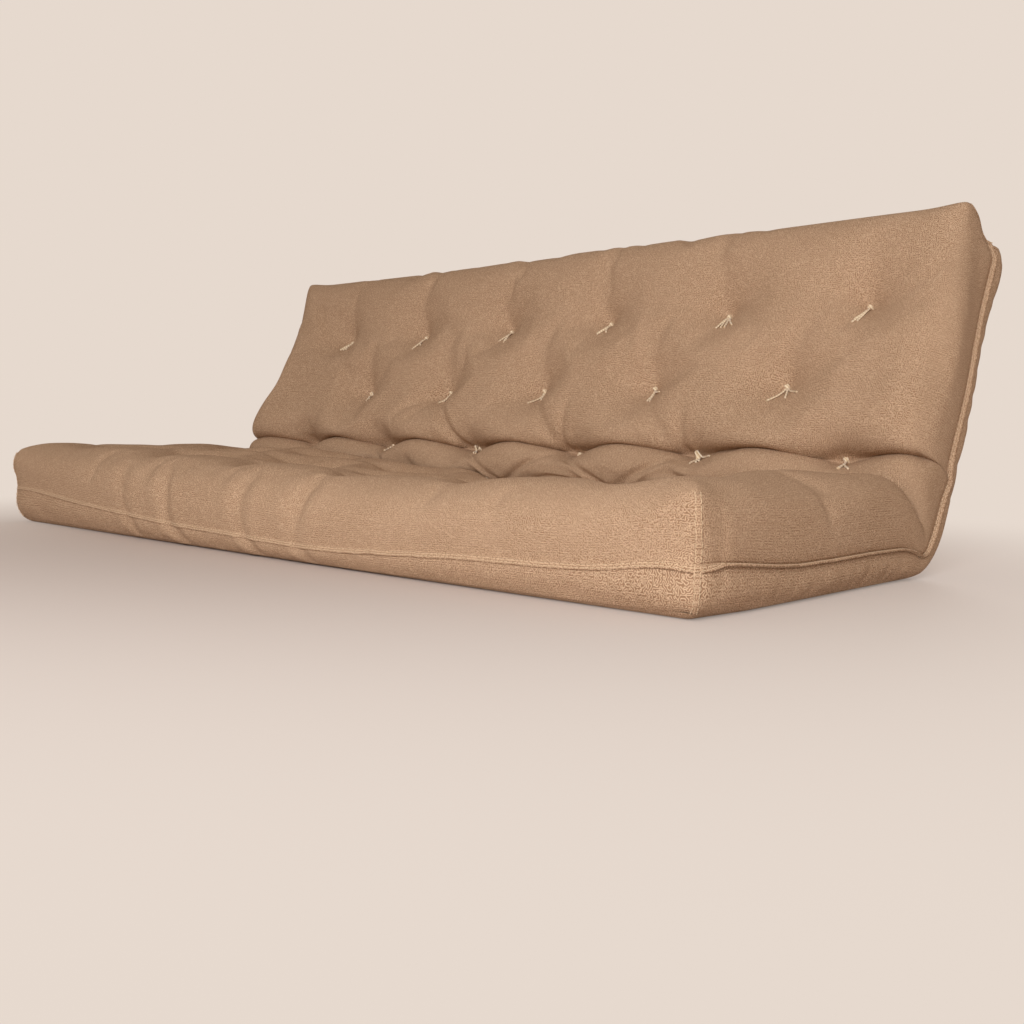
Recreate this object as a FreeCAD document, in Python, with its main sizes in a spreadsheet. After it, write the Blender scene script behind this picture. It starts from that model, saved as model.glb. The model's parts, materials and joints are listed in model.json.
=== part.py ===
import FreeCAD, Part
import math
import os
import Sketcher

# A tufted futon mattress, full size, folded to a sofa: the seat section lies flat and the back
# section leans on the line where the mattress folds.
#
# Frame: X across the mattress, +Y from the front edge to the back, +Z up. The origin is the middle
# of the seat section's underside, so the fold line is half a seat depth behind it, on the underside.
#
# Both sections are drawn in the same section frame: Y runs from the fold line to the section's free
# edge, and Z runs through the thickness, from the base (the side that lies on the sofa's slats) to
# the face (the side that is sat on). The two sections meet on the plane that halves the fold.

doc = FreeCAD.newDocument("futon_mattress")

SIZES = [
    ("mattress_width", 1900, "across the sofa, end to end"),
    ("seat_depth", 720, "fold line to the front edge"),
    ("back_height", 650, "fold line to the top edge, along the lean"),
    ("recline", 27.5, "degrees that the back leans from upright"),
    ("fold_gap", 0.3, "each section's clearance to the plane that halves the fold"),
    ("cloth_thickness", 1.2, "casing cloth"),
    ("layer_gap", 0.3, "between one layer and the next"),
    ("face_batting_thickness", 36, "cotton batting under the face panel"),
    ("foam_thickness", 38, "each of the two foam sheets"),
    ("middle_batting_thickness", 20, "cotton batting between the foam sheets"),
    ("base_batting_thickness", 34, "cotton batting on the base panel"),
    ("seam_height", 57, "base to the seam that joins the two casing panels"),
    ("face_edge_radius", 45, "rounding of the free edge on the face side"),
    ("base_edge_radius", 35, "rounding of the free edge on the base side"),
    ("end_edge_radius", 30, "rounding round each end"),
    ("flange_width", 6, "how far the sewn seam flange stands out"),
    ("flange_thickness", 2.4, "two turned cloth edges, sewn together"),
    ("thread_width", 0.8, "seam thread"),
    ("tuft_pitch", 300, "from tuft to tuft along a row"),
    ("tuft_row_pitch", 165, "from row to row"),
    ("tuft_edge_margin", 170, "free edge to the first row"),
    ("tuft_end_margin", 120, "least distance of a tuft from an end"),
    ("tuft_shift", 30, "how far the rows sit off the middle, towards +X"),
    ("tuft_depth", 30, "depth of the dimple that a tie pulls in the face"),
    ("tuft_mouth_radius", 70, "radius of the dimple at the face"),
    ("twine_diameter", 1.8, "tufting twine"),
    ("twine_leg_spacing", 6, "between the two legs of a tie"),
    ("twine_clearance", 0.3, "round the twine in each layer"),
    ("knot_diameter", 10, "knot of a tie"),
    ("knot_height", 7, "knot of a tie, above the cloth"),
    ("shortest_tie", 20, "least length of a tie beside the fold"),
    ("fold_knot_cover", 2, "depth of a fold tie's knot behind the fold plane"),
    ("cutter_reach", 10, "how far a cutting shape runs past what it cuts"),
]

sheet = doc.addObject("Spreadsheet::Sheet", "Sizes")
for row, (alias, number, meaning) in enumerate(SIZES, start=1):
    sheet.set(f"A{row}", str(number))
    sheet.setAlias(f"A{row}", alias)
    sheet.set(f"B{row}", meaning)
doc.recompute()

# Sizes that follow from the driving ones, as expressions.
THICKNESS = (
    "(2 * Sizes.cloth_thickness + 6 * Sizes.layer_gap + Sizes.face_batting_thickness"
    " + 2 * Sizes.foam_thickness + Sizes.middle_batting_thickness + Sizes.base_batting_thickness)"
)
HALF_FOLD = "((90 - Sizes.recline) / 2)"
FOLD_SHIFT = f"(Sizes.fold_gap / cos({HALF_FOLD} * 1 deg))"
FILL_OFFSET = "(Sizes.cloth_thickness + Sizes.layer_gap)"
FACE_KNOT_HEIGHT = f"({THICKNESS} - Sizes.tuft_depth)"
LENGTHS = {"seat": "Sizes.seat_depth", "back": "Sizes.back_height"}


def size(expression):
    """The number that an expression on the sheet has now."""
    return float(sheet.evalExpression(expression))


def fold_limit(depth):
    """Section Y of the fold face at a height above the base."""
    return size(FOLD_SHIFT) + depth * math.tan(math.radians(size(HALF_FOLD)))


def bind(feature, prop, expression):
    feature.setExpression(prop, expression)


def origin_plane(body, role):
    return next(plane for plane in body.Origin.OriginFeatures if plane.Role == role)


def hide_inputs(feature, *inputs):
    for part in inputs:
        part.Visibility = False
    return feature


def boolean(kind, name, base, tool):
    """A Part::Cut or Part::Common of two objects of the document."""
    feature = doc.addObject(kind, name)
    feature.Base = base
    feature.Tool = tool
    return hide_inputs(feature, base, tool)


def envelope(section, name, offset):
    """The section's rounded slab, drawn in by an offset from its outer skin, but not at the fold."""
    body = doc.addObject("PartDesign::Body", name)
    sketch = body.newObject("Sketcher::SketchObject", name + "_profile")
    sketch.AttachmentSupport = [(origin_plane(body, "YZ_Plane"), "")]
    sketch.MapMode = "FlatFace"

    length = size(f"{LENGTHS[section]} - {offset}")
    low = size(offset)
    high = size(f"{THICKNESS} - {offset}")
    low_radius = size(f"Sizes.base_edge_radius - {offset}")
    high_radius = size(f"Sizes.face_edge_radius - {offset}")
    point = lambda y, z: FreeCAD.Vector(y, z, 0)
    low_centre = point(length - low_radius, low + low_radius)
    high_centre = point(length - high_radius, high - high_radius)
    axis = FreeCAD.Vector(0, 0, 1)
    base_line, base_round, edge_line, face_round, face_line, fold_line = sketch.addGeometry(
        [
            Part.LineSegment(point(fold_limit(low), low), point(low_centre.x, low)),
            Part.ArcOfCircle(Part.Circle(low_centre, axis, low_radius), -math.pi / 2, 0),
            Part.LineSegment(point(length, low_centre.y), point(length, high_centre.y)),
            Part.ArcOfCircle(Part.Circle(high_centre, axis, high_radius), 0, math.pi / 2),
            Part.LineSegment(point(high_centre.x, high), point(fold_limit(high), high)),
            Part.LineSegment(point(fold_limit(high), high), point(fold_limit(low), low)),
        ],
        False,
    )
    start, end = 1, 2
    sketch.addConstraint(
        [
            Sketcher.Constraint("Tangent", base_line, end, base_round, start),
            Sketcher.Constraint("Tangent", base_round, end, edge_line, start),
            Sketcher.Constraint("Tangent", edge_line, end, face_round, start),
            Sketcher.Constraint("Tangent", face_round, end, face_line, start),
            Sketcher.Constraint("Coincident", face_line, end, fold_line, start),
            Sketcher.Constraint("Coincident", fold_line, end, base_line, start),
            Sketcher.Constraint("Horizontal", base_line),
            Sketcher.Constraint("Vertical", edge_line),
            Sketcher.Constraint("Horizontal", face_line),
        ]
    )
    driven = [
        (Sketcher.Constraint("Radius", base_round, low_radius), f"Sizes.base_edge_radius - {offset}"),
        (Sketcher.Constraint("Radius", face_round, high_radius), f"Sizes.face_edge_radius - {offset}"),
        (Sketcher.Constraint("DistanceX", -1, 1, edge_line, start, length), f"{LENGTHS[section]} - {offset}"),
        (Sketcher.Constraint("DistanceY", -1, 1, face_line, start, high), f"{THICKNESS} - {offset}"),
        (
            Sketcher.Constraint("DistanceX", -1, 1, fold_line, start, fold_limit(high)),
            f"{FOLD_SHIFT} + ({THICKNESS} - {offset}) * tan({HALF_FOLD} * 1 deg)",
        ),
        (
            Sketcher.Constraint("DistanceX", -1, 1, fold_line, end, fold_limit(low)),
            f"{FOLD_SHIFT} + ({offset}) * tan({HALF_FOLD} * 1 deg)",
        ),
    ]
    if low > 0:
        driven.append((Sketcher.Constraint("DistanceY", -1, 1, base_line, start, low), offset))
    else:
        sketch.addConstraint(Sketcher.Constraint("PointOnObject", base_line, start, -1))
    for constraint, expression in driven:
        index = sketch.addConstraint(constraint)
        bind(sketch, f"Constraints[{index}]", expression)

    pad = body.newObject("PartDesign::Pad", name + "_slab")
    pad.Profile = sketch
    pad.SideType = "Symmetric"
    bind(pad, "Length", f"Sizes.mattress_width - 2 * {offset}")
    doc.recompute()

    half_width = size("Sizes.mattress_width / 2") - low
    rim = [f"Edge{n}" for n, edge in enumerate(pad.Shape.Edges, start=1) if on_end(edge, half_width)]
    fillet = body.newObject("PartDesign::Fillet", name + "_ends")
    fillet.Base = (pad, rim)
    bind(fillet, "Radius", f"Sizes.end_edge_radius - {offset}")
    return body


def on_end(edge, half_width):
    """Whether an edge of the slab lies round one of its two ends, away from the fold face."""
    middle = edge.valueAt((edge.FirstParameter + edge.LastParameter) / 2)
    on_fold = abs(middle.y - fold_limit(middle.z)) < 0.01
    return abs(abs(middle.x) - half_width) < 0.01 and not on_fold


def band(section, name, low, high):
    """A box that takes the part of a section between two heights above the base."""
    box = doc.addObject("Part::Box", name)
    reach = "Sizes.cutter_reach"
    bind(box, "Length", f"Sizes.mattress_width + 2 * {reach}")
    bind(box, "Width", f"{LENGTHS[section]} + 2 * {reach}")
    bind(box, "Height", f"{high} - {low}")
    bind(box, "Placement.Base.x", f"-Sizes.mattress_width / 2 - {reach}")
    bind(box, "Placement.Base.y", f"-{reach}")
    bind(box, "Placement.Base.z", low)
    return box


def tuft_places(section):
    """Each tie's X and Y in the section frame, and the height of the cloth under its knot.

    Rows run from the free edge towards the fold, every other one staggered by half a pitch. Near the
    fold a tie is short, because its knot lies in the crease."""
    turned = -1 if section == "seat" else 1
    half_room = size("Sizes.mattress_width / 2 - Sizes.tuft_end_margin")
    pitch = size("Sizes.tuft_pitch")
    shift = size("Sizes.tuft_shift")
    face_height = size(FACE_KNOT_HEIGHT)
    shortest = size("Sizes.shortest_tie")
    steps = range(-int(half_room / pitch) - 1, int(half_room / pitch) + 1)
    places = []
    y = size(f"{LENGTHS[section]} - Sizes.tuft_edge_margin")
    first_x = pitch / 2
    while y > 0:
        height = min(face_height, fold_knot_height(y))
        if height > shortest:
            row = [first_x + pitch * step for step in steps]
            places += [(turned * (x + shift), y, height) for x in row if abs(x) <= half_room]
        y -= size("Sizes.tuft_row_pitch")
        first_x = pitch / 2 - first_x
    return places


def fold_knot_height(y):
    """The highest that a knot can sit at a distance from the fold and stay behind the fold face."""
    behind = size(f"{FOLD_SHIFT} + Sizes.knot_diameter / 2 + Sizes.fold_knot_cover")
    rise = math.tan(math.radians(size(HALF_FOLD)))
    return (y - behind) / rise - size("Sizes.layer_gap + Sizes.knot_height")


def leg_pair(x, y, diameter, low, high):
    """The two legs of a tie, side by side along the row."""
    spread = size("Sizes.twine_leg_spacing") / 2
    return [
        Part.makeCylinder(diameter / 2, high - low, FreeCAD.Vector(x + side * spread, y, low))
        for side in (-1, 1)
    ]


def base_stitch(x, y, width, low, high):
    """The short stitch that joins a tie's two legs across the base panel."""
    length = size("Sizes.twine_leg_spacing")
    corner = FreeCAD.Vector(x - length / 2, y - width / 2, low)
    return Part.makeBox(length, width, high - low, corner)


def tuft_ties(section):
    """Every tie of the section: two legs of twine, the stitch under the base and the knot on the face."""
    twine = size("Sizes.twine_diameter")
    low = size("Sizes.layer_gap")
    knot_radius = size("Sizes.knot_diameter / 2")
    knot_height = size("Sizes.knot_height")
    ties = []
    for x, y, height in tuft_places(section):
        knot_base = height + size("Sizes.layer_gap")
        knot = Part.makeCylinder(knot_radius, knot_height, FreeCAD.Vector(x, y, knot_base))
        legs = leg_pair(x, y, twine, low, knot_base + knot_height / 2)
        stitch = base_stitch(x, y, twine, low, low + twine)
        ties.append(knot.multiFuse(legs + [stitch]).removeSplitter())
    return feature_from(f"{section}_tuft_ties", Part.makeCompound(ties))


def tie_holes(section):
    """What the ties need open in every layer: their legs, the stitch and, at the fold, the knot."""
    clearance = size("Sizes.twine_clearance")
    width = size("Sizes.twine_diameter") + 2 * clearance
    reach = size("Sizes.cutter_reach")
    slot_top = size("Sizes.layer_gap") + width
    pocket_radius = size("Sizes.knot_diameter / 2") + clearance
    holes = []
    for x, y, height in tuft_places(section):
        legs = leg_pair(x, y, width, -reach, height + clearance)
        hole = base_stitch(x, y, width, -reach, slot_top).multiFuse(legs)
        if height < size(FACE_KNOT_HEIGHT):
            pocket = Part.makeCylinder(pocket_radius, size(THICKNESS), FreeCAD.Vector(x, y, height))
            hole = hole.fuse(pocket)
        holes.append(hole)
    return feature_from(f"{section}_tie_holes", Part.makeCompound(holes))


def dimples(section, name, offset):
    """The hollows that the ties pull in the face, as caps of spheres about the same centres."""
    depth = size("Sizes.tuft_depth")
    mouth = size("Sizes.tuft_mouth_radius")
    sphere = (mouth**2 + depth**2) / (2 * depth)
    radius = sphere + size(offset)
    top_angle = math.degrees(math.asin((depth + size("Sizes.cutter_reach") - sphere) / radius))
    up = FreeCAD.Vector(0, 0, 1)
    caps = []
    for x, y, height in tuft_places(section):
        if height == size(FACE_KNOT_HEIGHT):
            centre = FreeCAD.Vector(x, y, height + sphere)
            caps.append(Part.makeSphere(radius, centre, up, -90, top_angle, 360))
    return feature_from(name, Part.makeCompound(caps))


def feature_from(name, shape):
    feature = doc.addObject("Part::Feature", name)
    feature.Shape = shape
    return feature


def seam_strip(section, name, inner, outer, low, high):
    """A flat strip that runs round the section at the seam, from the fold to the fold."""
    body = doc.addObject("PartDesign::Body", name)
    sketch = body.newObject("Sketcher::SketchObject", name + "_outline")
    sketch.AttachmentSupport = [(origin_plane(body, "XY_Plane"), "")]
    sketch.MapMode = "FlatFace"
    bind(sketch, "AttachmentOffset.Base.z", low)

    start_y = f"({FOLD_SHIFT} + ({high}) * tan({HALF_FOLD} * 1 deg))"
    loops = {}
    for offset in (inner, outer):
        loops[offset] = open_outline(sketch, section, offset, start_y)
    ends = [
        (loops[inner][0], 1, loops[outer][0], 1),
        (loops[inner][-1], 2, loops[outer][-1], 2),
    ]
    for inner_edge, inner_end, outer_edge, outer_end in ends:
        first = sketch.getPoint(inner_edge, inner_end)
        second = sketch.getPoint(outer_edge, outer_end)
        closing = sketch.addGeometry(Part.LineSegment(first, second), False)
        sketch.addConstraint(Sketcher.Constraint("Coincident", closing, 1, inner_edge, inner_end))
        sketch.addConstraint(Sketcher.Constraint("Coincident", closing, 2, outer_edge, outer_end))

    pad = body.newObject("PartDesign::Pad", name + "_strip")
    pad.Profile = sketch
    bind(pad, "Length", f"{high} - {low}")
    return body


def open_outline(sketch, section, offset, start_y):
    """The seam's path round three sides, moved out by an offset: end, corner, edge, corner, end."""
    half_width = size(f"Sizes.mattress_width / 2 + {offset}")
    edge_y = size(f"{LENGTHS[section]} + {offset}")
    radius = size(f"Sizes.end_edge_radius + {offset}")
    first_y = size(start_y)
    point = lambda x, y: FreeCAD.Vector(x, y, 0)
    axis = FreeCAD.Vector(0, 0, 1)
    right_centre = point(half_width - radius, edge_y - radius)
    left_centre = point(radius - half_width, edge_y - radius)
    right_end, right_corner, edge, left_corner, left_end = sketch.addGeometry(
        [
            Part.LineSegment(point(half_width, first_y), point(half_width, right_centre.y)),
            Part.ArcOfCircle(Part.Circle(right_centre, axis, radius), 0, math.pi / 2),
            Part.LineSegment(point(right_centre.x, edge_y), point(left_centre.x, edge_y)),
            Part.ArcOfCircle(Part.Circle(left_centre, axis, radius), math.pi / 2, math.pi),
            Part.LineSegment(point(-half_width, left_centre.y), point(-half_width, first_y)),
        ],
        False,
    )
    start, end = 1, 2
    sketch.addConstraint(
        [
            Sketcher.Constraint("Tangent", right_end, end, right_corner, start),
            Sketcher.Constraint("Tangent", right_corner, end, edge, start),
            Sketcher.Constraint("Tangent", edge, end, left_corner, start),
            Sketcher.Constraint("Tangent", left_corner, end, left_end, start),
            Sketcher.Constraint("Vertical", right_end),
            Sketcher.Constraint("Horizontal", edge),
            Sketcher.Constraint("Vertical", left_end),
        ]
    )
    driven = [
        (Sketcher.Constraint("Radius", right_corner, radius), f"Sizes.end_edge_radius + {offset}"),
        (Sketcher.Constraint("Radius", left_corner, radius), f"Sizes.end_edge_radius + {offset}"),
        (
            Sketcher.Constraint("DistanceX", -1, 1, right_end, start, half_width),
            f"Sizes.mattress_width / 2 + {offset}",
        ),
        (
            Sketcher.Constraint("DistanceX", left_end, end, -1, 1, half_width),
            f"Sizes.mattress_width / 2 + {offset}",
        ),
        (Sketcher.Constraint("DistanceY", -1, 1, edge, start, edge_y), f"{LENGTHS[section]} + {offset}"),
        (Sketcher.Constraint("DistanceY", -1, 1, right_end, start, first_y), start_y),
        (Sketcher.Constraint("DistanceY", -1, 1, left_end, end, first_y), start_y),
    ]
    for constraint, expression in driven:
        index = sketch.addConstraint(constraint)
        bind(sketch, f"Constraints[{index}]", expression)
    return [right_end, right_corner, edge, left_corner, left_end]


def layer_heights():
    """Each filling layer's lowest and highest point, as expressions, from the base up."""
    thicknesses = [
        ("base_batting", "Sizes.base_batting_thickness"),
        ("base_foam", "Sizes.foam_thickness"),
        ("middle_batting", "Sizes.middle_batting_thickness"),
        ("face_foam", "Sizes.foam_thickness"),
        ("face_batting", "Sizes.face_batting_thickness"),
    ]
    heights = {}
    low = FILL_OFFSET
    for layer, thickness in thicknesses:
        high = f"({low} + {thickness})"
        heights[layer] = (low, high)
        low = f"({high} + Sizes.layer_gap)"
    return heights


def with_dimples(section, name, offset):
    """The section's slab at an offset from its skin, with the dimples that the ties pull."""
    slab = envelope(section, f"{section}_{name}_slab", offset)
    hollows = dimples(section, f"{section}_{name}_dimples", offset)
    return boolean("Part::Cut", f"{section}_{name}", slab, hollows)


def casing_panels(section, holes):
    """The cloth on the face, which wraps over the edges to the seam, and the cloth on the base."""
    outside = with_dimples(section, "casing_outside", "0")
    inside = with_dimples(section, "casing_inside", "Sizes.cloth_thickness")
    casing = boolean("Part::Cut", f"{section}_casing", outside, inside)
    spans = {
        "face_panel": ("Sizes.seam_height", f"({THICKNESS} + Sizes.cutter_reach)"),
        "base_panel": ("(-Sizes.cutter_reach)", "Sizes.seam_height"),
    }
    panels = []
    for panel, (low, high) in spans.items():
        span = band(section, f"{section}_{panel}_span", low, high)
        whole = boolean("Part::Common", f"{section}_{panel}_whole", casing, span)
        panels.append(boolean("Part::Cut", f"{section}_{panel}", whole, holes))
    return panels


def filling(section, holes):
    """The five sheets inside the casing: batting, foam, batting, foam, batting."""
    inside = with_dimples(section, "filling", FILL_OFFSET)
    sheets = []
    for layer, (low, high) in layer_heights().items():
        span = band(section, f"{section}_{layer}_span", low, high)
        whole = boolean("Part::Common", f"{section}_{layer}_whole", inside, span)
        sheets.append(boolean("Part::Cut", f"{section}_{layer}", whole, holes))
    return sheets


def seam(section):
    """The flange where the two panels are sewn edge to edge, and the line of thread along it."""
    half = "Sizes.flange_thickness / 2"
    low = f"(Sizes.seam_height - {half})"
    high = f"(Sizes.seam_height + {half})"
    flange = seam_strip(section, f"{section}_seam_flange", "Sizes.layer_gap", "Sizes.flange_width", low, high)
    thread = seam_strip(
        section,
        f"{section}_seam_thread",
        "(Sizes.flange_width - Sizes.thread_width) / 2",
        "(Sizes.flange_width + Sizes.thread_width) / 2",
        high,
        f"({high} + Sizes.thread_width)",
    )
    return [flange, thread]


def place(part, section):
    """Puts a part of a section where it lies: the seat runs forward from the fold, the back leans up."""
    if section == "seat":
        axis = FreeCAD.Vector(0, 0, 1)
        angle = "180"
    else:
        axis = FreeCAD.Vector(1, 0, 0)
        angle = "90 - Sizes.recline"
    part.Placement = FreeCAD.Placement(FreeCAD.Vector(), FreeCAD.Rotation(axis, 180))
    bind(part, "Placement.Rotation.Angle", angle)
    bind(part, "Placement.Base.y", "Sizes.seat_depth / 2")


parts = []
for section in ("seat", "back"):
    holes = tie_holes(section)
    pieces = casing_panels(section, holes) + filling(section, holes) + seam(section)
    pieces.append(tuft_ties(section))
    for piece in pieces:
        piece.Label = piece.Name
        place(piece, section)
    parts += pieces

doc.recompute()

for item in doc.Objects:
    if {"Invalid", "Error"} & set(item.State):
        raise RuntimeError(f"{item.Label} failed: {item.State}")
for part in parts:
    if part.Shape.isNull() or not part.Shape.isValid():
        raise RuntimeError(f"{part.Label} has no valid shape")

os.makedirs("parts", exist_ok=True)
for part in parts:
    part.Shape.exportStep(f"parts/{part.Label}.step")
    litres = part.Shape.Volume / 1e6
    print(f"{part.Label}: {len(part.Shape.Solids)} solids, {litres:.3f} litres")
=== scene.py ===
import json
import math
import random

import bmesh
import bpy
from mathutils import Matrix, Vector, noise
from mathutils.bvhtree import BVHTree


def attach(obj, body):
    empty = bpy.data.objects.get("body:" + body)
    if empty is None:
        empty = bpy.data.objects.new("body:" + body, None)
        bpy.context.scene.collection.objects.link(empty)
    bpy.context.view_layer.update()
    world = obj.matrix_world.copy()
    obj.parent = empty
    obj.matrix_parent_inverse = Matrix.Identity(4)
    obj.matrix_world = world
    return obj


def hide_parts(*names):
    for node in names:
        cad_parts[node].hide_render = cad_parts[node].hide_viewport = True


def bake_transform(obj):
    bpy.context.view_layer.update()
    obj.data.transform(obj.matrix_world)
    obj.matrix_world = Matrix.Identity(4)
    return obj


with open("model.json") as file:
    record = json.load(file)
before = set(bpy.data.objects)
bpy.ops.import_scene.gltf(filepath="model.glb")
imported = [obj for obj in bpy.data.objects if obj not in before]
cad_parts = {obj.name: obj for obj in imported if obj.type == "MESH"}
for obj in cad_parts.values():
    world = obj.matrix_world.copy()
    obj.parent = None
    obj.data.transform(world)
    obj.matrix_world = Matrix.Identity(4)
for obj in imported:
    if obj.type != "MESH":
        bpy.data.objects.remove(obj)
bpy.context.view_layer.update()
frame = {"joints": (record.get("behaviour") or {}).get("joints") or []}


# ---- Casing -------------------------------------------------------------------------------------
# The sewn cotton casing, in two cloth panels: a deep face panel, whose sides come down round the
# edges, and a shallow base panel. They're sewn together round the sides, filled, and tied through.
# The casing is laid out flat, with V from the seat's front edge to the top edge of the back and H
# through the thickness, rounded at its edges, folded, and then let settle as inflated cloth.
fold = frame["joints"][0]
fold_y = fold["pos_m"][1]
open_angle = math.radians(fold["range_deg"][1])
up_back = Vector((0, math.cos(open_angle), math.sin(open_angle)))
off_back = Vector((0, -math.sin(open_angle), math.cos(open_angle)))
WIDTH = 1.90
LENGTH = 1.37
SEAT_DEPTH = 2 * fold_y
THICKNESS = 0.170
SEAM_HEIGHT = 0.0567
FRONT_ROLL_RADIUS = 0.068
FACE_EDGE_RADIUS = 0.045
TOP_EDGE_RADIUS = 0.032
FRONT_BASE_RADIUS = 0.030
BASE_EDGE_RADIUS = 0.016
FOLD_BEND_RADIUS = 0.16
TOP_CREEP = 0.028
END_DRAW = 0.011


def clamp(value, low, high):
    return min(max(value, low), high)


def ease(value):
    """A smooth step from 0 to 1."""
    value = clamp(value, 0, 1)
    return value * value * (3 - 2 * value)


def curve_through(points):
    """A smooth curve through given points, each a position followed by its values."""

    def at(t):
        last = len(points) - 2
        i = next((k for k in range(last) if t < points[k + 1][0]), last)
        before, start, end, after = (points[clamp(k, 0, last + 1)] for k in range(i - 1, i + 3))
        span = end[0] - start[0]
        s = clamp((t - start[0]) / span, 0, 1)
        values = []
        for p0, p1, p2, p3 in zip(before[1:], start[1:], end[1:], after[1:]):
            slope_in = (p2 - p0) / (end[0] - before[0]) * span
            slope_out = (p3 - p1) / (after[0] - start[0]) * span
            values.append(
                (2 * s**3 - 3 * s**2 + 1) * p1
                + (s**3 - 2 * s**2 + s) * slope_in
                + (3 * s**2 - 2 * s**3) * p2
                + (s**3 - s**2) * slope_out
            )
        return values

    return at


def seat_point(v, h):
    return (v, v - fold_y, h)


def back_point(v, h):
    place = Vector((0, fold_y, 0)) + up_back * (v - SEAT_DEPTH) + off_back * h
    return (v, place.y, place.z)


# The ties, in rows across. Every second row is staggered by half a pitch.
TUFT_PITCH = 0.300
TUFT_ROW_PITCH = 0.165
TUFT_EDGE_MARGIN = 0.170
TUFT_SHIFT = 0.030
TUFT_STAGGER = 0.020
TUFT_DEPTH = 0.042
BACK_SLIP = 0.013
seat_rows = [TUFT_EDGE_MARGIN + TUFT_ROW_PITCH * k for k in range(4)]
back_rows = [LENGTH - TUFT_EDGE_MARGIN - TUFT_ROW_PITCH * k for k in (2, 1, 0)]
back_rows[1:] = [v - BACK_SLIP for v in back_rows[1:]]
rows = seat_rows + back_rows
fold_row, crease_row = rows[3], rows[4]
tufts = []
for k, v in enumerate(rows):
    offsets = range(-2, 3) if k % 2 else [step + 0.5 for step in range(-3, 3)]
    shift = TUFT_SHIFT + (TUFT_STAGGER if v > SEAT_DEPTH + 0.1 and len(offsets) == 5 or v == crease_row else 0)
    tufts += [(shift + TUFT_PITCH * offset, v) for offset in offsets]

# The face's line through the fold, in (V, Y, Z). Two rows of ties draw it down: one in the crease
# under the back, one in front of it. Between them is a slack apron, and the back's lowest puff
# hangs over the crease. One curve is for the columns tied in the crease, one for those before it.
crease_column = curve_through([
    seat_point(-0.20, THICKNESS),
    seat_point(0.30, THICKNESS),
    seat_point(0.56, THICKNESS),
    (0.610, 0.244, 0.164),
    (0.665, 0.277, 0.138),
    (0.720, 0.283, 0.149),
    (0.780, 0.284, 0.173),
    (0.830, 0.304, 0.189),
    (0.870, 0.342, 0.191),
    (0.897, 0.308, 0.203),
    (0.930, 0.298, 0.235),
    (0.975, 0.315, 0.287),
    back_point(1.035, THICKNESS),
    back_point(1.20, THICKNESS),
    back_point(1.60, THICKNESS),
])
apron_column = curve_through([
    seat_point(-0.20, THICKNESS),
    seat_point(0.30, THICKNESS),
    seat_point(0.56, THICKNESS),
    (0.610, 0.250, 0.154),
    (0.665, 0.293, 0.117),
    (0.720, 0.282, 0.142),
    (0.780, 0.274, 0.176),
    (0.830, 0.284, 0.200),
    (0.870, 0.318, 0.211),
    (0.895, 0.286, 0.214),
    (0.925, 0.281, 0.239),
    (0.975, 0.308, 0.291),
    back_point(1.035, THICKNESS),
    back_point(1.20, THICKNESS),
    back_point(1.60, THICKNESS),
])
# How the seat has settled: along the front roll its ends stand a little proud and its middle has
# sunk, and behind the roll the middle has sunk further.
front_droop = curve_through([
    (-0.96, 0.010), (-0.86, 0.016), (-0.60, 0.008), (-0.30, -0.006), (0.00, -0.015),
    (0.28, -0.024), (0.55, -0.017), (0.78, -0.010), (0.90, 0.006), (0.96, 0.009),
])
droop_along = curve_through([
    (0.00, 1.0), (0.10, 1.0), (0.20, 2.0), (0.36, 2.6), (0.56, 2.9), (0.63, 1.5), (0.68, 0.3), (0.74, 0.0),
])


# The seam along the front has ridden up towards both ends.
seam_rise = curve_through([
    (-0.96, 0.018), (-0.86, 0.013), (-0.60, 0.002), (-0.30, 0.000), (0.00, 0.000), (0.28, 0.006), (0.50, 0.012),
    (0.65, 0.013), (0.90, 0.012), (0.96, 0.008),
])


def droop(x, v, h):
    change = front_droop(x)[0]
    if change < 0:
        change *= droop_along(v)[0]
    else:
        change *= 1 - ease(v / 0.25)
    risen = seam_rise(x)[0] * (1 - ease(v / 0.25)) * (1 - ease((h - SEAM_HEIGHT) / 0.08))
    return (change + risen) * min(h / SEAM_HEIGHT, 1)


def face_line(x, v):
    share = 0.5 + 0.5 * math.cos(2 * math.pi * (x - TUFT_SHIFT) / TUFT_PITCH)
    return Vector((0, *crease_column(v))).lerp(Vector((0, *apron_column(v))), share)


def base_line(v):
    """The base's line: flat under the seat, an arc round the fold, straight up the back."""
    tangent = FOLD_BEND_RADIUS * math.tan(open_angle / 2)
    along = v - SEAT_DEPTH
    if along < -tangent:
        return Vector((0, v - fold_y, 0))
    if along > tangent:
        return Vector((0, fold_y, 0)) + up_back * along
    angle = open_angle * (along + tangent) / (2 * tangent)
    return Vector((0, fold_y - tangent + FOLD_BEND_RADIUS * math.sin(angle), FOLD_BEND_RADIUS * (1 - math.cos(angle))))


def to_fold(x, v, h):
    """Carries a point of the flat mattress to its place folded, with the directions of V and H."""
    share = (h + droop(x, v, h)) / THICKNESS
    step = 0.002
    place = base_line(v).lerp(face_line(x, v), share)
    ahead = base_line(v + step).lerp(face_line(x, v + step), share)
    along = (ahead - place).normalized()
    outward = Vector((0, -along.z, along.y))
    place.x = x - TOP_CREEP * ease((v - 1.12) / 0.25) * ease((h - 0.05) / 0.10)
    place.x -= END_DRAW * ease((v - 0.95) / 0.30) * clamp(x / WIDTH * 2, 0, 1) ** 3 * (1 - ease((h - 0.08) / 0.07))
    return place, along, outward


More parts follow.
